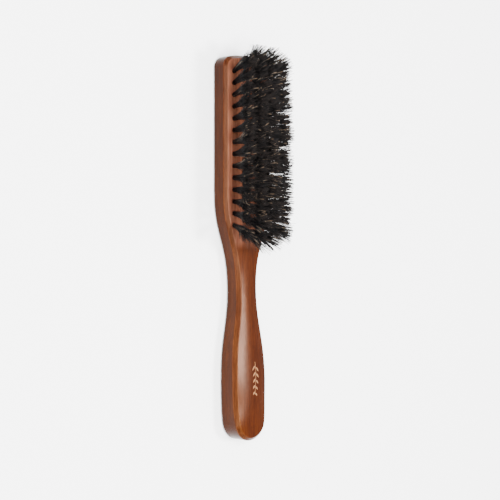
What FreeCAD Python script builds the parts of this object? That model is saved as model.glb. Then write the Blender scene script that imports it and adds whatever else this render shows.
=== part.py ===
"""Bristle hand brush: a one-piece wooden body, folded bristle tufts and the anchors that hold them.

Row frame, millimetres: the brush lies on its flat back, bristles up (+Z), handle along +X.
The origin is on the flat back, under the middle of the bristle field.
"""
import FreeCAD, Part
import math
import os
from FreeCAD import Placement, Rotation, Vector

os.makedirs("parts", exist_ok=True)
doc = FreeCAD.newDocument("bristle_brush")

# Driving dimensions: alias, millimetres (degrees where the name ends in _angle), meaning
DIMENSIONS = [
    ("head_end_x", -53.5, "flat end of the head"),
    ("handle_end_x", 166.5, "tip of the handle"),
    ("head_width", 36.2, "straight-sided head"),
    ("head_straight_x", 24.0, "where the head's sides start to curve in"),
    ("head_corner", 6.5, "plan radius of the head's corners"),
    ("head_end_radius", 70.0, "arched head end in plan"),
    ("handle_end_radius", 11.6, "round handle end in plan"),
    ("handle_end_angle", 11.0, "slope of the handle's sides where its round end starts"),
    ("flank_lead", 6.0, "first control point of the waist past the head's straight side"),
    ("flank_tail", 5.0, "last control point of the handle's side before its round end"),
    ("stock_thickness", 24.0, "blank that the profile is cut from"),
    ("head_thickness", 10.4, "flat drilled face above the back"),
    ("chamfer_width", 1.9, "bevel round the front face"),
    ("bevel_softening", 0.9, "radius that softens the bevel's two edges"),
    ("back_rounding", 1.6, "radius round the back face"),
    ("tuft_pitch", 6.7, "spacing of the tufts along a column"),
    ("column_spacing", 7.8, "spacing of the four columns"),
    ("hole_radius", 1.3, "drilled tuft hole"),
    ("hole_depth", 7.2, "tuft hole along its own axis"),
    ("straight_above_face", 0.9, "tuft stays as thin as its hole this far above the face"),
    ("bristle_length", 18.6, "tuft above the face along its own axis"),
    ("tip_radius", 3.1, "spread of a tuft at its tips"),
    ("inner_lean_angle", 5.0, "sideways lean of the two inner columns"),
    ("outer_lean_angle", 14.5, "sideways lean of the two outer columns"),
    ("fan_offset_angle", 1.5, "lean of the middle tufts towards the head's end"),
    ("fan_angle", 11.0, "even part of the fan at the field's ends"),
    ("fan_end_angle", 10.0, "extra splay of the last tufts"),
    ("anchor_length", 3.3, "flat wire, longer than the hole is wide, so that it bites the wood"),
    ("anchor_height", 1.5, "flat wire, along the hole"),
    ("anchor_thickness", 0.35, "flat wire"),
    ("fold_height", 0.7, "tuft folded under the anchor"),
]
OUTER_TUFTS = 14
INNER_TUFTS = 15
FAN_END_POWER = 7

# Control points of the waist and the handle's side: (x, half width)
FLANK = [
    (38.5, 17.35),
    (48.0, 14.35),
    (57.0, 11.15),
    (66.5, 8.6),
    (79.5, 7.45),
    (95.0, 8.25),
    (114.0, 12.55),
    (133.0, 13.0),
    (144.0, 12.6),
]
FLANK_DEGREE = 3
# Front face from the head's end to past the tip: (x, height of its long edges, rise of its crown)
FRONT_SECTIONS = [
    (44.0, 10.4, 0.0),
    (51.0, 10.4, 0.0),
    (64.0, 10.2, 0.3),
    (79.5, 10.2, 0.7),
    (105.0, 11.1, 1.3),
    (133.0, 12.4, 1.5),
    (148.0, 12.7, 1.4),
    (172.0, 10.9, 1.2),
]
FRONT_HALF_SPAN = 25.0
CUT_MARGIN = 5.0

# ---- spreadsheet -------------------------------------------------------------------------------
sheet = doc.addObject("Spreadsheet::Sheet", "sheet")
for row, (alias, value, meaning) in enumerate(DIMENSIONS, start=1):
    sheet.set("A%d" % row, alias)
    sheet.set("B%d" % row, str(value))
    sheet.set("C%d" % row, meaning)
    sheet.setAlias("B%d" % row, alias)
doc.recompute()


def dim(alias):
    """A driving dimension, read from the sheet."""
    return float(sheet.get(alias))


def bind(obj, **expressions):
    """Drive an object's properties from the sheet."""
    for prop, expression in expressions.items():
        obj.setExpression(prop, expression)
    return obj


def origin_plane(body, role):
    """One of a body's own origin planes, such as XY_Plane."""
    return [f for f in body.Origin.OriginFeatures if f.Role == role][0]


def new_sketch(body, name, role, offset=0.0):
    """A sketch on one of the body's own planes, moved along that plane's normal."""
    sketch = body.newObject("Sketcher::SketchObject", name)
    sketch.AttachmentSupport = [(origin_plane(body, role), "")]
    sketch.MapMode = "FlatFace"
    sketch.AttachmentOffset = Placement(Vector(0, 0, offset), Rotation())
    return sketch


def arc_through(start, middle, end):
    return Part.Arc(Vector(*start), Vector(*middle), Vector(*end))


def round_end_start(side):
    """Point where the handle's side meets its round end, and the side's direction there."""
    radius = dim("handle_end_radius")
    slope = math.radians(dim("handle_end_angle"))
    x = dim("handle_end_x") - radius + radius * math.sin(slope)
    point = Vector(x, side * radius * math.cos(slope), 0)
    return point, Vector(math.cos(slope), -side * math.sin(slope), 0)


def flank_curve(side):
    """Smooth side of the waist and handle, tangent to the head's straight side and the round end."""
    start = Vector(dim("head_straight_x"), side * dim("head_width") / 2, 0)
    end, direction = round_end_start(side)
    controls = [start, start + Vector(dim("flank_lead"), 0, 0)]
    controls += [Vector(x, side * y, 0) for x, y in FLANK]
    controls += [end - direction * dim("flank_tail"), end]
    curve = Part.BSplineCurve()
    curve.buildFromPoles(controls, False, FLANK_DEGREE)
    return curve


def draw_outline(sketch):
    """Plan view of the brush: arched head end, straight head, waist, swelling handle, round end."""
    half = dim("head_width") / 2
    corner = dim("head_corner")
    end_x = dim("head_end_x")
    radius = dim("head_end_radius")
    arch_centre = Vector(end_x + radius, 0, 0)
    corner_y = half - corner
    corner_x = arch_centre.x - math.sqrt((radius - corner) ** 2 - corner_y**2)
    ends = []
    for side in (1, -1):
        centre = Vector(corner_x, side * corner_y, 0)
        outward = (centre - arch_centre).normalize()
        touch = arch_centre + outward * radius
        side_start = Vector(corner_x, side * half, 0)
        halfway = centre + (outward + Vector(0, side, 0)).normalize() * corner
        sketch.addGeometry(Part.Arc(touch, halfway, side_start))
        sketch.addGeometry(Part.LineSegment(side_start, Vector(dim("head_straight_x"), side * half, 0)))
        sketch.addGeometry(flank_curve(side))
        ends.append(touch)
    sketch.addGeometry(Part.Arc(ends[0], Vector(end_x, 0, 0), ends[1]))
    left, _ = round_end_start(1)
    right, _ = round_end_start(-1)
    sketch.addGeometry(Part.Arc(left, Vector(dim("handle_end_x"), 0, 0), right))


def polyline(sketch, points):
    """Straight sketch edges through (x, y) points."""
    for a, b in zip(points, points[1:]):
        sketch.addGeometry(Part.LineSegment(Vector(*a, 0), Vector(*b, 0)))


def draw_head_face(sketch):
    """Side view of what is cut away above the flat drilled face."""
    left = dim("head_end_x") - CUT_MARGIN
    right = FRONT_SECTIONS[0][0]
    low = dim("head_thickness")
    high = dim("stock_thickness") + CUT_MARGIN
    polyline(sketch, [(left, low), (right, low), (right, high), (left, high), (left, low)])


def draw_front_section(sketch, half_width, edge_height, rise):
    """Cross section of what is cut away above the handle: its lower side is the crowned front."""
    span = FRONT_HALF_SPAN
    high = dim("stock_thickness") + CUT_MARGIN
    crown = edge_height + rise
    low = crown
    if rise:
        radius = (half_width**2 + rise**2) / (2 * rise)
        low = crown - radius + math.sqrt(radius**2 - span**2)
        sketch.addGeometry(arc_through((-span, low, 0), (0, crown, 0), (span, low, 0)))
    else:
        polyline(sketch, [(-span, crown), (span, crown)])
    polyline(sketch, [(span, low), (span, high), (-span, high), (-span, low)])


def half_width_at(x):
    """Half width of the handle in plan at x, or that of its side's last point beyond it."""
    curve = flank_curve(1)
    low = curve.FirstParameter
    high = curve.LastParameter
    for _ in range(40):
        middle = (low + high) / 2
        if curve.value(middle).x < x:
            low = middle
        else:
            high = middle
    return curve.value(low).y


def upward_share(face, point):
    """How much a face looks up or down at a point: 1 is level, 0 is a wall."""
    u, v = face.Surface.parameter(point)
    return abs(face.normalAt(u, v).z)


def edges_between(shape, lower, steps):
    """Names of the edges above a height whose two faces differ in steepness by one of the steps."""
    names = []
    for index, edge in enumerate(shape.Edges, start=1):
        point = edge.valueAt((edge.FirstParameter + edge.LastParameter) / 2)
        faces = [f for f in shape.Faces if any(edge.isSame(other) for other in f.Edges)]
        if len(faces) != 2 or point.z < lower:
            continue
        shares = sorted(upward_share(f, point) for f in faces)
        if steps[0] < shares[1] - shares[0] < steps[1]:
            names.append("Edge%d" % index)
    return names


def make_blank():
    """The wooden body before drilling: sawn outline, shaped front, bevelled and softened edges."""
    body = doc.addObject("PartDesign::Body", "body_blank")
    outline = new_sketch(body, "outline", "XY_Plane")
    draw_outline(outline)
    head_face = new_sketch(body, "head_face", "XZ_Plane")
    draw_head_face(head_face)
    sections = []
    for number, (x, edge_height, rise) in enumerate(FRONT_SECTIONS, start=1):
        section = new_sketch(body, "front_section_%d" % number, "YZ_Plane", x)
        draw_front_section(section, half_width_at(x), edge_height, rise)
        sections.append(section)
    doc.recompute()

    pad = body.newObject("PartDesign::Pad", "blank")
    pad.Profile = outline
    bind(pad, Length="sheet.stock_thickness")
    cut = body.newObject("PartDesign::Pocket", "head_face_cut")
    cut.Profile = head_face
    cut.Midplane = True
    bind(cut, Length="sheet.head_width * 2")
    front = body.newObject("PartDesign::SubtractiveLoft", "handle_front_cut")
    front.Profile = sections[0]
    front.Sections = sections[1:]
    doc.recompute()

    mid_height = dim("head_thickness") / 2
    bevel = body.newObject("PartDesign::Chamfer", "front_bevel")
    bevel.Base = (front, edges_between(front.Shape, mid_height, (0.7, 1.1)))
    bind(bevel, Size="sheet.chamfer_width")
    doc.recompute()
    soft = body.newObject("PartDesign::Fillet", "softened_bevel")
    soft.Base = (bevel, edges_between(bevel.Shape, mid_height, (0.15, 0.85)))
    bind(soft, Radius="sheet.bevel_softening")
    doc.recompute()
    back = body.newObject("PartDesign::Fillet", "rounded_back")
    back.Base = (soft, edges_between(soft.Shape, -1.0, (0.95, 1.1)))
    bind(back, Radius="sheet.back_rounding")
    doc.recompute()
    return body


def tuft_places():
    """(node name, x, y, lean towards the head's end, lean to the side) of every tuft."""
    places = []
    columns = [
        ("left_outer", 1.5, OUTER_TUFTS, "outer_lean_angle"),
        ("left_inner", 0.5, INNER_TUFTS, "inner_lean_angle"),
        ("right_inner", -0.5, INNER_TUFTS, "inner_lean_angle"),
        ("right_outer", -1.5, OUTER_TUFTS, "outer_lean_angle"),
    ]
    field_half = dim("tuft_pitch") * (INNER_TUFTS - 1) / 2
    for column, steps, count, lean_name in columns:
        side_lean = math.copysign(dim(lean_name), steps)
        for index in range(count):
            x = dim("tuft_pitch") * (index - (count - 1) / 2)
            along = -x / field_half
            fan = dim("fan_offset_angle") + dim("fan_angle") * along
            fan += dim("fan_end_angle") * along**FAN_END_POWER
            name = "tuft_%s_%02d" % (column, index + 1)
            places.append((name, x, steps * dim("column_spacing"), fan, side_lean))
    return places


def tuft_frame(x, y, fan, side_lean):
    """Placement at a hole's mouth with local Z along the leaning tuft."""
    axis = Vector(-math.tan(math.radians(fan)), math.tan(math.radians(side_lean)), 1)
    return Placement(Vector(x, y, dim("head_thickness")), Rotation(Vector(0, 0, 1), axis))


def make_tuft(name, frame):
    """One tuft: a straight shank in its hole, a flare to the tips, and a slot for its anchor."""
    shank = doc.addObject("Part::Cylinder", name + "_shank")
    bind(shank, Radius="sheet.hole_radius", Height="sheet.hole_depth + sheet.straight_above_face")
    shank.Placement = frame * Placement(Vector(0, 0, -dim("hole_depth")), Rotation())
    flare = doc.addObject("Part::Cone", name + "_flare")
    bind(flare, Radius1="sheet.hole_radius", Radius2="sheet.tip_radius")
    bind(flare, Height="sheet.bristle_length - sheet.straight_above_face")
    flare.Placement = frame * Placement(Vector(0, 0, dim("straight_above_face")), Rotation())
    wire = doc.addObject("Part::Box", name + "_anchor")
    bind(wire, Length="sheet.anchor_thickness", Width="sheet.anchor_length", Height="sheet.anchor_height")
    corner = Vector(-dim("anchor_thickness") / 2, -dim("anchor_length") / 2, 0)
    corner.z = dim("fold_height") - dim("hole_depth")
    wire.Placement = frame * Placement(corner, Rotation())
    bundle = doc.addObject("Part::Fuse", name + "_bundle")
    bundle.Base = shank
    bundle.Tool = flare
    tuft = doc.addObject("Part::Cut", name)
    tuft.Base = bundle
    tuft.Tool = wire
    tuft.Label = name
    return tuft, shank, wire


def group(name, members):
    """Several solids as one compound."""
    compound = doc.addObject("Part::Compound", name)
    compound.Links = members
    compound.Label = name
    return compound


blank = make_blank()
tufts = []
shanks = []
wires = []
for name, x, y, fan, side_lean in tuft_places():
    tuft, shank, wire = make_tuft(name, tuft_frame(x, y, fan, side_lean))
    tufts.append(tuft)
    shanks.append(shank)
    wires.append(wire)

wooden_body = doc.addObject("Part::Cut", "wooden_body")
wooden_body.Base = blank
wooden_body.Tool = group("drilled_holes", shanks + wires)
wooden_body.Label = "wooden_body"
anchors = group("tuft_anchors", wires)
doc.recompute()

# ---- checks and export -------------------------------------------------------------------------
for obj in doc.Objects:
    if "Invalid" in obj.State or "Error" in obj.State:
        raise RuntimeError("%s failed: %s" % (obj.Name, obj.State))

nodes = [wooden_body, anchors] + tufts
for node in nodes:
    if node.Shape.isNull() or not node.Shape.isValid() or not node.Shape.Solids:
        raise RuntimeError("%s has no valid solid" % node.Label)
    node.Shape.exportStep("parts/%s.step" % node.Label)

box = wooden_body.Shape.optimalBoundingBox(True, False)
print("wooden body %.1f x %.1f x %.1f mm" % (box.XLength, box.YLength, box.ZLength))
print("wooden body %.1f cm3, one solid: %s" % (wooden_body.Shape.Volume / 1000, len(wooden_body.Shape.Solids) == 1))
print("%d nodes, %d tufts, %d anchors" % (len(nodes), len(tufts), len(anchors.Shape.Solids)))
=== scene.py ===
"""Bristle hand brush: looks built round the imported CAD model.

The wooden body and the anchors are the CAD parts with detailed materials. Each CAD tuft is replaced
by a bundle of real bristles, which starts on the anchor at the bottom of its drilled hole.
All lengths are metres, in the row's frame: bristles up (+Z), handle along +X.
"""

import math

import bpy
import numpy as np
from mathutils import Matrix, Vector
from mathutils.bvhtree import BVHTree


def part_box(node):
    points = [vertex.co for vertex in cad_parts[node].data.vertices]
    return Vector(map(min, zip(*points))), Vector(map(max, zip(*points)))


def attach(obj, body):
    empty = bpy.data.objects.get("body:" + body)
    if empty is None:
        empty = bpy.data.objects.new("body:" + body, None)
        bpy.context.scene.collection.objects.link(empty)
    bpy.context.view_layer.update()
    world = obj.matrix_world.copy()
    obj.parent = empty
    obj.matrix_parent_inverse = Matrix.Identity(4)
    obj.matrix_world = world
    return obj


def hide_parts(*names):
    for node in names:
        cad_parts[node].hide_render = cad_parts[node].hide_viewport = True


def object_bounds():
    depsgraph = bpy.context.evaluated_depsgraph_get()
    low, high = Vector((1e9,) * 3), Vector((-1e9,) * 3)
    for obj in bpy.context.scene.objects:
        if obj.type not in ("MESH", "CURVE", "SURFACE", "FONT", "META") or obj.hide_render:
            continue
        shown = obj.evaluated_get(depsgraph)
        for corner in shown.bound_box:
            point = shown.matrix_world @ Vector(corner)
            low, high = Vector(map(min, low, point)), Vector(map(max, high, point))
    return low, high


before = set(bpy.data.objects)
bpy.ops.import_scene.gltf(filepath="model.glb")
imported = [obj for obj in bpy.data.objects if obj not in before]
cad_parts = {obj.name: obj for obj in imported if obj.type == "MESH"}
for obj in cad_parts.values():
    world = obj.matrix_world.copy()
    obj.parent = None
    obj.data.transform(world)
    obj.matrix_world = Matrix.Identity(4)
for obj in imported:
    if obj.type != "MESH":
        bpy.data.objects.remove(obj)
CAD_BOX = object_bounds()

MM = 0.001
SEED = 7
GOLDEN_ANGLE = math.radians(137.5)

# ---- camera: the brush standing upright, seen between its front (+Z) and its -Y side ------------
VIEW_TILT = math.radians(45)        # between the front face's normal and the line to the camera
CAMERA_DISTANCE = 700 * MM
CAMERA_LENS = 87.2                  # for a 36 mm sensor
AIM_ALONG = 57.6 * MM               # point on the brush's axis at the picture's middle height
AIM_ASIDE = 8.15 * MM               # and its distance from that axis across the picture

# ---- studio ------------------------------------------------------------------------------------
WORLD_STRENGTH = 1.85
SOFTBOX_DISTANCE = 1.3
KEY_TURN = math.radians(26)         # the key light stands this far round from the front to the +Y side
SOFTBOXES = (                       # name, direction from the brush, size along X and across, watts
    ("key_softbox", (0.03, math.sin(KEY_TURN), math.cos(KEY_TURN)), (0.24, 0.28), 30),
    ("front_softbox", (0, -0.3, 1), (1.0, 0.3), 60),
    ("side_softbox", (0, -1, 0.95), (1.2, 0.16), 17),
)
FLOOR_REACH = 4.0
FLOOR_DROP = 0.05 * MM              # keeps the floor off the brush's flat back

# ---- head of the brush -------------------------------------------------------------------------
FACE_HEIGHT = 10.4 * MM
FACE_DEPTH = 0.35 * MM              # the painted light on the drilled face starts this far below the face
FIELD_END = 51 * MM                 # along X, where the painted light on the drilled face begins to fade
FIELD_FADED = 58 * MM
HOLE_DEPTH = 7.2 * MM
HOLE_RADIUS = 1.3 * MM

# ---- bristles ----------------------------------------------------------------------------------
HAIRS_PER_TUFT = 340
HAIR_SIDES = 3
HAIR_ROOT_RADIUS = 0.085 * MM
HAIR_TIP_RADIUS = 0.08 * MM
TAPER_POWER = 1.6
LIGHT_HAIR_SHARE = 0.015
LIGHT_HAIR_GAIN = 0.7               # light hairs are coarser by this share
STATIONS = (-0.34, 0.0, 0.25, 0.5, 0.76, 1.0)   # on a hair: the anchor, the hole's mouth at 0, the tip
COLUMNS = {                         # reach of a column's tips across and along, and how late they part
    "right_outer": (5.1 * MM, 5.1 * MM, 2.8),
    "right_inner": (6.2 * MM, 6.2 * MM, 2.0),
    "left_inner": (6.2 * MM, 6.4 * MM, 1.3),
    "left_outer": (4.8 * MM, 5.2 * MM, 1.1),
}
CLUMPS = 24                         # points that a tuft's hairs gather into
CLUMP_SCATTER = 0.5 * MM
CLUMP_REACH = 1.05                  # longest clump as a share of the tuft's length
CLUMP_SHORTFALL = 0.2               # the shortest clump lacks this much of it
SHORTFALL_POWER = 1.2
HELD_SHARE = 0.58                   # hairs that gather into a clump, the others are free
HELD_PULL = 0.9                     # share of the way to its clump that a tip is drawn
FREE_PULL = 0.2
HELD_SCATTER = 0.1 * MM
FREE_SCATTER = 1.3 * MM
FREE_PARTING = 0.7                  # the earliest free hairs part at this share of the column's value
HAIR_SHORTFALL = 0.06               # the shortest hair lacks this share of its clump's reach
HAIR_BEND = 0.3 * MM
TUFT_DRIFT = 0.75 * MM              # each tuft's tips also stand off its axis by about this
EDGE_SLACK = 0.6 * MM               # tips are bent back from here inside the box of the CAD tufts
EDGE_GIVE = 1.3 * MM                # and end up at most this far beyond that line

# ---- ornament: a leaf sprig, stained on the handle's crowned front ------------------------------
SPRIG_START = 121.5 * MM
SPRIG_LENGTH = 18.5 * MM
SPRIG_MIDDLE_Y = 2.1 * MM
SPRIG_WAVE = 0.45 * MM
STEM_HALF_WIDTH = 0.16 * MM
LEAF_PLACES = (0.14, 0.34, 0.54, 0.74, 0.94)
LEAF_LENGTH = 3.5 * MM
LEAF_HALF_WIDTH = 0.5 * MM
LEAF_CLEARANCE = 0.3 * MM           # from the stem's middle line to a leaf's foot
LEAF_STAGGER = 0.4 * MM             # one leaf of a pair starts this much further on, the other earlier
LEAF_END_WIDTH = 0.12               # width at a leaf's ends as a share of its widest
LEAF_SHRINK = 0.1                   # from pair to pair, as a share of the first pair's length
LEAF_CURL = 0.35                    # share of its angle that a leaf loses towards its tip
LEAF_ANGLE = math.radians(48)
STAIN_LOW = 0.005 * MM              # underside and top of the stain's film above the wood
STAIN_HIGH = 0.035 * MM


def to_camera():
    return Vector((0, -math.sin(VIEW_TILT), math.cos(VIEW_TILT)))


def picture_right():
    return Vector((0, math.cos(VIEW_TILT), math.sin(VIEW_TILT)))


def add_camera():
    camera = bpy.data.objects.new("camera", bpy.data.cameras.new("camera"))
    bpy.context.collection.objects.link(camera)
    up = Vector((-1, 0, 0))
    aim = Vector((AIM_ALONG, 0, 0)) + picture_right() * AIM_ASIDE
    axes = Matrix((picture_right(), up, to_camera())).transposed()
    camera.matrix_world = Matrix.Translation(aim + to_camera() * CAMERA_DISTANCE) @ axes.to_4x4()
    camera.data.lens = CAMERA_LENS
    camera.data.sensor_width = 36
    bpy.context.scene.camera = camera


def add_softbox(name, direction, size, power):
    """A rectangular area light that looks at the brush's middle, its long side along X."""
    light = bpy.data.lights.new(name, "AREA")
    light.shape = "RECTANGLE"
    light.size, light.size_y = size
    light.energy = power
    box = bpy.data.objects.new(name, light)
    bpy.context.collection.objects.link(box)
    aim = Vector((AIM_ALONG, 0, 0))
    direction = Vector(direction).normalized()
    side = direction.cross(Vector((1, 0, 0))).normalized()
    long_axis = side.cross(direction)
    axes = Matrix((long_axis, side, direction)).transposed()
    box.matrix_world = Matrix.Translation(aim + direction * SOFTBOX_DISTANCE) @ axes.to_4x4()


def add_studio():
    world = bpy.data.worlds.new("studio")
    bpy.context.scene.world = world
    world.use_nodes = True
    background = world.node_tree.nodes["Background"]
    background.inputs["Color"].default_value = (1.0, 1.0, 1.0, 1)
    background.inputs["Strength"].default_value = WORLD_STRENGTH
    for name, direction, size, power in SOFTBOXES:
        add_softbox(name, direction, size, power)


def add_floor():
    floor_mesh = bpy.data.meshes.new("floor")
    corners = [(FLOOR_REACH * x, FLOOR_REACH * y, 0) for x, y in ((-1, -1), (1, -1), (1, 1), (-1, 1))]
    floor_mesh.from_pydata(corners, [], [(0, 1, 2, 3)])
    floor = bpy.data.objects.new("floor", floor_mesh)
    bpy.context.collection.objects.link(floor)
    floor.location.z = -FLOOR_DROP
    material = bpy.data.materials.new("pale_floor")
    material.use_nodes = True
    shader = material.node_tree.nodes["Principled BSDF"]
    shader.inputs["Base Color"].default_value = (0.93, 0.93, 0.93, 1)
    shader.inputs["Roughness"].default_value = 0.9
    shader.inputs["Specular IOR Level"].default_value = 0.1
    floor_mesh.materials.append(material)


# ---- materials ---------------------------------------------------------------------------------
class Graph:
    """A material's node tree with short ways to add and link nodes."""

    def __init__(self, name):
        self.material = bpy.data.materials.new(name)
        self.material.use_nodes = True
        self.tree = self.material.node_tree
        self.shader = self.tree.nodes["Principled BSDF"]
        self.place = self.add("ShaderNodeTexCoord").outputs["Object"]

    def add(self, kind, **settings):
        node = self.tree.nodes.new(kind)
        for key, value in settings.items():
            setattr(node, key, value)
        return node

    def link(self, source, target):
        self.tree.links.new(source, target)

    def noise(self, stretch, scale, detail=3.0, distortion=0.0):
        """Noise whose features are longer along the axes with a small stretch."""
        mapping = self.add("ShaderNodeMapping")
        mapping.inputs["Scale"].default_value = stretch
        self.link(self.place, mapping.inputs["Vector"])
        noise = self.add("ShaderNodeTexNoise")
        noise.inputs["Scale"].default_value = scale
        noise.inputs["Detail"].default_value = detail
        noise.inputs["Distortion"].default_value = distortion
        self.link(mapping.outputs["Vector"], noise.inputs["Vector"])
        return noise.outputs["Fac"]

    def ramp(self, value, *stops):
        ramp = self.add("ShaderNodeValToRGB")
        elements = ramp.color_ramp.elements
        while len(elements) < len(stops):
            elements.new(0.5)
        for element, (position, colour) in zip(elements, stops):
            element.position = position
            element.color = (*colour, 1)
        self.link(value, ramp.inputs["Fac"])
        return ramp.outputs["Color"]

    def mix(self, blend, factor, a, b):
        mix = self.add("ShaderNodeMix", data_type="RGBA", blend_type=blend)
        if isinstance(factor, float):
            mix.inputs[0].default_value = factor
        else:
            self.link(factor, mix.inputs[0])
        for socket, value in ((mix.inputs[6], a), (mix.inputs[7], b)):
            if isinstance(value, tuple):
                socket.default_value = (*value, 1)
            else:
                self.link(value, socket)
        return mix.outputs[2]

    def remap(self, value, low, high):
        node = self.add("ShaderNodeMapRange")
        node.inputs["To Min"].default_value = low
        node.inputs["To Max"].default_value = high
        self.link(value, node.inputs["Value"])
        return node.outputs["Result"]

    def fade(self, value, start, end):
        """0 before start and 1 after end, or the other way round when end is the smaller."""
        node = self.add("ShaderNodeMapRange", interpolation_type="SMOOTHSTEP")
        node.inputs["From Min"].default_value = start
        node.inputs["From Max"].default_value = end
        self.link(value, node.inputs["Value"])
        return node.outputs["Result"]

    def multiply(self, a, b):
        node = self.add("ShaderNodeMath", operation="MULTIPLY")
        self.link(a, node.inputs[0])
        self.link(b, node.inputs[1])
        return node.outputs["Value"]

    def steepness(self):
        """Z part of the surface's direction: 0 on the sides, 0.7 on the bevel, 1 on the front."""
        normal = self.add("ShaderNodeSeparateXYZ")
        self.link(self.add("ShaderNodeTexCoord").outputs["Normal"], normal.inputs["Vector"])
        return normal.outputs["Z"]

    def painted_light_between_tufts(self):
        """1 on the drilled face inside the bristle field, where light is painted into the bristles'
        shade.
        """
        place = self.add("ShaderNodeSeparateXYZ")
        self.link(self.place, place.inputs["Vector"])
        distance = self.add("ShaderNodeMath", operation="ABSOLUTE")
        self.link(place.outputs["X"], distance.inputs[0])
        inside = self.fade(distance.outputs["Value"], FIELD_FADED, FIELD_END)
        return self.multiply(inside, self.fade(place.outputs["Z"], FACE_HEIGHT - FACE_DEPTH, FACE_HEIGHT))

    def bump(self, height, strength, distance):
        node = self.add("ShaderNodeBump")
        node.inputs["Strength"].default_value = strength
        node.inputs["Distance"].default_value = distance
        self.link(height, node.inputs["Height"])
        self.link(node.outputs["Normal"], self.shader.inputs["Normal"])

    def set(self, **values):
        for name, value in values.items():
            self.shader.inputs[name.replace("_", " ")].default_value = value


# Stain by the strength of the wood's broad figure, and what each finer layer of grain makes of it
STAIN = ((0.3, (0.025, 0.0044, 0.0006)), (0.5, (0.033, 0.0063, 0.0007)), (0.72, (0.045, 0.0097, 0.0008)))
BANDS = ((0.35, (0.75, 0.66, 0.6)), (0.62, (1.15, 1.18, 1.1)))
STREAKS = ((0.34, (0.62, 0.54, 0.48)), (0.6, (1.1, 1.1, 1.1)))
FIBRES = ((0.3, (0.6, 0.54, 0.5)), (0.6, (1.0, 1.0, 1.0)))
FLECKS = ((0.58, (1.0, 1.0, 1.0)), (0.7, (0.5, 0.4, 0.35)))
GRAIN_STRENGTH = 0.6
PAINTED_FACE_LIGHT = (0.11, 0.041, 0.025)   # painted light on the drilled face, where the tufts shade it
# Factor on the stain by steepness, painted light and shade: darker sides, paler bevel, highlights along
# its edges
STEEPNESS_PAINTED_LIGHT = (
    (0.0, (0.74, 0.72, 0.7)),
    (0.22, (0.74, 0.72, 0.7)),
    (0.38, (2.3, 3.6, 12.0)),
    (0.54, (1.25, 1.8, 5.5)),
    (0.84, (1.25, 1.8, 5.5)),
    (0.92, (1.7, 2.3, 5.0)),
    (0.97, (1.0, 1.0, 1.0)),
)


def stained_wood():
    """Close-grained wood, stained reddish brown, under a satin lacquer."""
    g = Graph("stained_wood")
    figure = g.noise((0.8, 9.0, 7.0), 14.0, 4.0, 0.6)
    bands = g.noise((1.0, 9.0, 9.0), 95.0, 3.0, 0.3)
    streaks = g.noise((1.0, 16.0, 16.0), 60.0, 5.0, 0.2)
    fibres = g.noise((1.0, 14.0, 14.0), 260.0, 3.0)
    flecks = g.noise((1.0, 5.0, 5.0), 420.0, 2.0)
    band_tone = g.ramp(bands, *BANDS)
    streak_tone = g.ramp(streaks, *STREAKS)
    fibre_tone = g.ramp(fibres, *FIBRES)
    fleck_tone = g.ramp(flecks, *FLECKS)
    colour = g.ramp(figure, *STAIN)
    for layer in (band_tone, streak_tone, fibre_tone, fleck_tone):
        colour = g.mix("MULTIPLY", GRAIN_STRENGTH, colour, layer)
    # painted shade on the sides, painted light on the bevel and painted highlight lines along its edges
    colour = g.mix("MULTIPLY", 1.0, colour, g.ramp(g.steepness(), *STEEPNESS_PAINTED_LIGHT))
    # painted light: the drilled face in the bristles' shade is painted paler
    painted_face_tone = g.mix("MULTIPLY", 1.0, PAINTED_FACE_LIGHT, band_tone)
    colour = g.mix("MIX", g.painted_light_between_tufts(), colour, painted_face_tone)
    g.link(colour, g.shader.inputs["Base Color"])
    g.link(g.remap(g.noise((1.0, 3.0, 3.0), 45.0), 0.2, 0.27), g.shader.inputs["Roughness"])
    g.bump(fibres, 0.12, 0.1 * MM)
    g.set(Specular_IOR_Level=0.1, Specular_Tint=(1.0, 0.58, 0.38, 1))
    return g.material


DARK_HAIR = ((0.0015, 0.0015, 0.0018), (0.002, 0.002, 0.0024), (0.008, 0.005, 0.0038))
PALE_HAIR = ((0.04, 0.03, 0.022), (0.16, 0.13, 0.1), (0.12, 0.08, 0.05))


def bristle_hair(name, root, middle, tip):
    """Natural bristle: darkest at the root, browner and duller at the split tip."""
    g = Graph(name)
    height = g.add("ShaderNodeSeparateXYZ")
    g.link(g.place, height.inputs["Vector"])
    spread = g.add("ShaderNodeMapRange")
    low, high = bristle_span()
    spread.inputs["From Min"].default_value = low
    spread.inputs["From Max"].default_value = high
    g.link(height.outputs["Z"], spread.inputs["Value"])
    colour = g.ramp(spread.outputs["Result"], (0.0, root), (0.75, middle), (1.0, tip))
    hairs = g.noise((1.0, 1.0, 0.06), 3500.0, 2.0)
    hair_tone = g.ramp(hairs, (0.35, (0.5, 0.48, 0.46)), (0.7, (1.0, 1.0, 1.0)))
    g.link(g.mix("MULTIPLY", 1.0, colour, hair_tone), g.shader.inputs["Base Color"])
    g.link(g.remap(spread.outputs["Result"], 0.34, 0.6), g.shader.inputs["Roughness"])
    g.set(Specular_IOR_Level=0.12)
    return g.material


def anchor_wire():
    """Drawn flat wire with a faint lengthwise brush mark."""
    g = Graph("anchor_wire")
    lines = g.noise((14.0, 1.0, 14.0), 900.0, 3.0)
    colour = g.ramp(lines, (0.3, (0.42, 0.4, 0.37)), (0.7, (0.66, 0.64, 0.6)))
    g.link(colour, g.shader.inputs["Base Color"])
    g.link(g.remap(lines, 0.28, 0.45), g.shader.inputs["Roughness"])
    g.bump(lines, 0.1, 0.02 * MM)
    g.set(Metallic=1.0)
    return g.material


# ---- bristles ----------------------------------------------------------------------------------
def tuft_nodes():
    return sorted(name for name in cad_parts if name.startswith("tuft_") and name != "tuft_anchors")


def bristle_span():
    """Heights of the drilled face and of the highest tips."""
    low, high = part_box("tuft_left_inner_08")
    return low[2] + HOLE_DEPTH, high[2]


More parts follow.
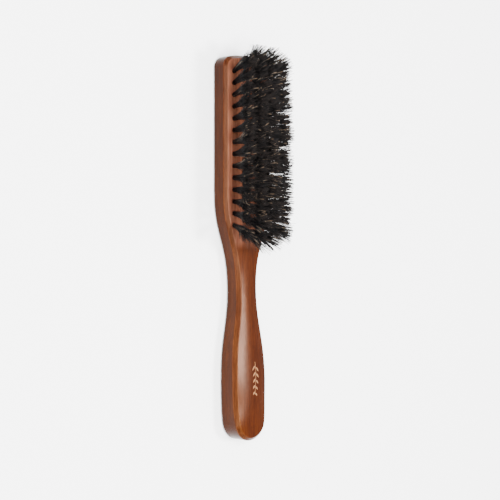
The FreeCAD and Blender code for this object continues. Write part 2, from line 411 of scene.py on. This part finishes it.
def tuft_axis(name):
    """Mouth of a tuft's hole, the unit direction to its tips, and the length above the mouth."""
    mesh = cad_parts[name].data
    points = np.array([v.co for v in mesh.vertices])
    centre = points.mean(axis=0)
    direction = np.linalg.svd(points - centre)[2][0]
    direction *= np.sign(direction[2])
    near = 0.05 * MM
    for _ in range(2):
        along = points @ direction
        top = points[along > along.max() - near].mean(axis=0)
        bottom = points[along < along.min() + near].mean(axis=0)
        direction = (top - bottom) / np.linalg.norm(top - bottom)
    length = float(np.linalg.norm(top - bottom)) - HOLE_DEPTH
    return bottom + direction * HOLE_DEPTH, direction, length


def on_disc(radius, angle):
    return np.stack([radius * np.cos(angle), radius * np.sin(angle)], axis=1)


def hair_lines(random, length, across, along_rows, parting):
    """Centre lines of one tuft's hairs in its own frame, Z from the mouth: (hairs, stations, 3)."""
    count = HAIRS_PER_TUFT
    spread = np.array([along_rows, across])
    radius = (HOLE_RADIUS - HAIR_ROOT_RADIUS) * np.sqrt(random.random(count))
    root = on_disc(radius, random.random(count) * math.tau)
    order = np.arange(CLUMPS)
    clump_angle = order * GOLDEN_ANGLE + random.random() * math.tau
    clump = on_disc(np.sqrt((order + 0.5) / CLUMPS), clump_angle) * spread
    clump += random.normal(0, CLUMP_SCATTER, clump.shape)
    clump_reach = CLUMP_REACH - CLUMP_SHORTFALL * random.random(CLUMPS) ** SHORTFALL_POWER

    free_tip = root / HOLE_RADIUS * spread
    nearest = np.linalg.norm(free_tip[:, None] - clump[None], axis=2).argmin(axis=1)
    held = random.random((count, 1)) < HELD_SHARE
    pull = np.where(held, HELD_PULL, FREE_PULL)
    held_scatter = random.normal(0, HELD_SCATTER, (count, 2))
    free_scatter = random.normal(0, FREE_SCATTER, (count, 2))
    tip = free_tip * (1 - pull) + clump[nearest] * pull + np.where(held, held_scatter, free_scatter)
    reach = length * clump_reach[nearest] * (1 - HAIR_SHORTFALL * random.random(count))
    tip += random.normal(0, TUFT_DRIFT, 2)

    bend = random.normal(0, HAIR_BEND, (count, 2))
    free_parting = FREE_PARTING + (1 - FREE_PARTING) * random.random((count, 1))
    flare_power = parting * np.where(held, 1.0, free_parting)
    lines = np.zeros((count, len(STATIONS), 3))
    for index, station in enumerate(STATIONS):
        along = max(station, 0.0)
        flare = along**flare_power
        sway = math.sin(math.pi * along)
        lines[:, index, :2] = root * (1 - flare) + tip * flare + bend * sway
        lines[:, index, 2] = station * (reach if station > 0 else length)
    return lines


def placed(lines, place):
    """Hair lines moved into the brush's frame, bent back where the tips stand out of its box."""
    lines = lines @ np.array(place.to_3x3()).T + np.array(place.translation)
    low, high = (np.array(corner) for corner in CAD_BOX)
    tips = lines[:, -1]
    beyond = tips - np.clip(tips, low + EDGE_SLACK, high - EDGE_SLACK)
    shift = EDGE_GIVE * np.tanh(beyond / EDGE_GIVE) - beyond
    share = np.clip(STATIONS, 0, 1) ** 2
    return lines + shift[:, None, :] * share[None, :, None]


def hair_mesh(name, lines, light):
    """Thin tapering tubes along the lines, closed at both ends; the light hairs are coarser."""
    hairs, stations, _ = lines.shape
    taper = np.linspace(0, 1, stations) ** TAPER_POWER
    radii = HAIR_ROOT_RADIUS + (HAIR_TIP_RADIUS - HAIR_ROOT_RADIUS) * taper
    radii = radii[None] * (1 + LIGHT_HAIR_GAIN * light[:, None])
    turns = np.arange(HAIR_SIDES) * math.tau / HAIR_SIDES
    ring = np.stack([np.cos(turns), np.sin(turns), np.zeros(HAIR_SIDES)], axis=1)
    points = lines[:, :, None, :] + ring[None, None] * radii[:, :, None, None]
    faces = []
    for hair in range(hairs):
        base = hair * stations * HAIR_SIDES
        root = tuple(range(base, base + HAIR_SIDES))
        top = base + (stations - 1) * HAIR_SIDES
        faces.append(root[::-1])
        for low in range(base, top, HAIR_SIDES):
            for side in range(HAIR_SIDES):
                after = (side + 1) % HAIR_SIDES
                faces.append((low + side, low + after, low + HAIR_SIDES + after, low + HAIR_SIDES + side))
        faces.append(tuple(range(top, top + HAIR_SIDES)))
    mesh = bpy.data.meshes.new(name)
    mesh.from_pydata(points.reshape(-1, 3).tolist(), [], faces)
    mesh.polygons.foreach_set("use_smooth", np.ones(len(faces), bool))
    per_hair = len(faces) // hairs
    mesh.polygons.foreach_set("material_index", np.repeat(light.astype(np.int32), per_hair))
    return mesh


def add_bristles():
    dark = bristle_hair("dark_bristle", *DARK_HAIR)
    pale = bristle_hair("pale_bristle", *PALE_HAIR)
    random = np.random.default_rng(SEED)
    for node in tuft_nodes():
        mouth, direction, length = tuft_axis(node)
        turn = Vector((0, 0, 1)).rotation_difference(Vector(direction)).to_matrix().to_4x4()
        place = Matrix.Translation(Vector(mouth)) @ turn
        name = node.replace("tuft_", "bristles_")
        light = random.random(HAIRS_PER_TUFT) < LIGHT_HAIR_SHARE
        column = COLUMNS[node[len("tuft_"):-len("_01")]]
        mesh = hair_mesh(name, placed(hair_lines(random, length, *column), place), light)
        mesh.materials.append(dark)
        mesh.materials.append(pale)
        bundle = bpy.data.objects.new(name, mesh)
        bpy.context.collection.objects.link(bundle)
        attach(bundle, "root")
        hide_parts(node)


# ---- ornament on the handle --------------------------------------------------------------------
def pale_stain():
    """Thin pale stain of the handle's ornament, with the grain showing in it."""
    g = Graph("pale_stain")
    grain = g.noise((1.0, 14.0, 14.0), 260.0, 3.0)
    colour = g.ramp(grain, (0.3, (0.11, 0.046, 0.017)), (0.6, (0.19, 0.09, 0.04)))
    g.link(colour, g.shader.inputs["Base Color"])
    g.link(g.remap(grain, 0.5, 0.65), g.shader.inputs["Roughness"])
    g.set(Specular_IOR_Level=0.1)
    return g.material


def ribbon(surface, line, half_widths):
    """Vertices and faces of a thin strip laid on the wood along a line of (x, y) points."""
    line = np.array(line)
    ahead = np.gradient(line, axis=0)
    across = np.stack([-ahead[:, 1], ahead[:, 0]], axis=1) / np.linalg.norm(ahead, axis=1)[:, None]
    vertices = []
    for point, side, half in zip(line, across, half_widths):
        for sign, lift in ((-1, STAIN_LOW), (1, STAIN_LOW), (1, STAIN_HIGH), (-1, STAIN_HIGH)):
            x, y = point + sign * half * side
            hit = surface.ray_cast(Vector((x, y, 1)), Vector((0, 0, -1)))[0]
            vertices.append((x, y, hit.z + lift))
    faces = [(3, 2, 1, 0)]
    last = len(vertices) - 4
    for base in range(0, last, 4):
        for side in range(4):
            after = (side + 1) % 4
            faces.append((base + side, base + after, base + 4 + after, base + 4 + side))
    faces.append((last, last + 1, last + 2, last + 3))
    return vertices, faces


def sprig_strips():
    """Stem and leaves of the sprig: lines of (x, y) points with their half widths."""
    along = np.linspace(0, 1, 13)
    stem_x = SPRIG_START + SPRIG_LENGTH * along
    stem_y = SPRIG_MIDDLE_Y + SPRIG_WAVE * np.sin(along * math.tau * 0.75)
    strips = [(np.stack([stem_x, stem_y], axis=1), np.full(len(along), STEM_HALF_WIDTH))]
    step = np.linspace(0, 1, 9)
    bulge = np.sin(math.pi * step**0.8)
    leaf_half = LEAF_HALF_WIDTH * (LEAF_END_WIDTH + (1 - LEAF_END_WIDTH) * bulge)
    for pair, share in enumerate(LEAF_PLACES):
        x = SPRIG_START + SPRIG_LENGTH * share
        y = float(np.interp(x, stem_x, stem_y))
        for side in (-1, 1):
            start = np.array([x + side * LEAF_STAGGER, y + side * LEAF_CLEARANCE])
            size = LEAF_LENGTH * (1 - LEAF_SHRINK * pair)
            turn = side * LEAF_ANGLE * (1 - LEAF_CURL * step)
            stride = size / (len(step) - 1)
            walk = np.stack([np.cos(turn), np.sin(turn)], axis=1) * stride
            strips.append((start + np.cumsum(walk, axis=0) - walk[0], leaf_half))
    return strips


def add_sprig():
    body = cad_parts["wooden_body"]
    depth = bpy.context.evaluated_depsgraph_get()
    surface = BVHTree.FromObject(body, depth)
    vertices = []
    faces = []
    for line, half_widths in sprig_strips():
        strip_vertices, strip_faces = ribbon(surface, line, half_widths)
        faces += [tuple(index + len(vertices) for index in face) for face in strip_faces]
        vertices += strip_vertices
    mesh = bpy.data.meshes.new("leaf_sprig")
    mesh.from_pydata(vertices, [], faces)
    mesh.materials.append(pale_stain())
    sprig = bpy.data.objects.new("leaf_sprig", mesh)
    bpy.context.collection.objects.link(sprig)
    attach(sprig, "root")


def dress(node, material):
    """Gives a CAD node its material."""
    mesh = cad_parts[node].data
    mesh.materials.clear()
    mesh.materials.append(material)


add_camera()
add_studio()
add_floor()
dress("wooden_body", stained_wood())
dress("tuft_anchors", anchor_wire())
add_bristles()
add_sprig()
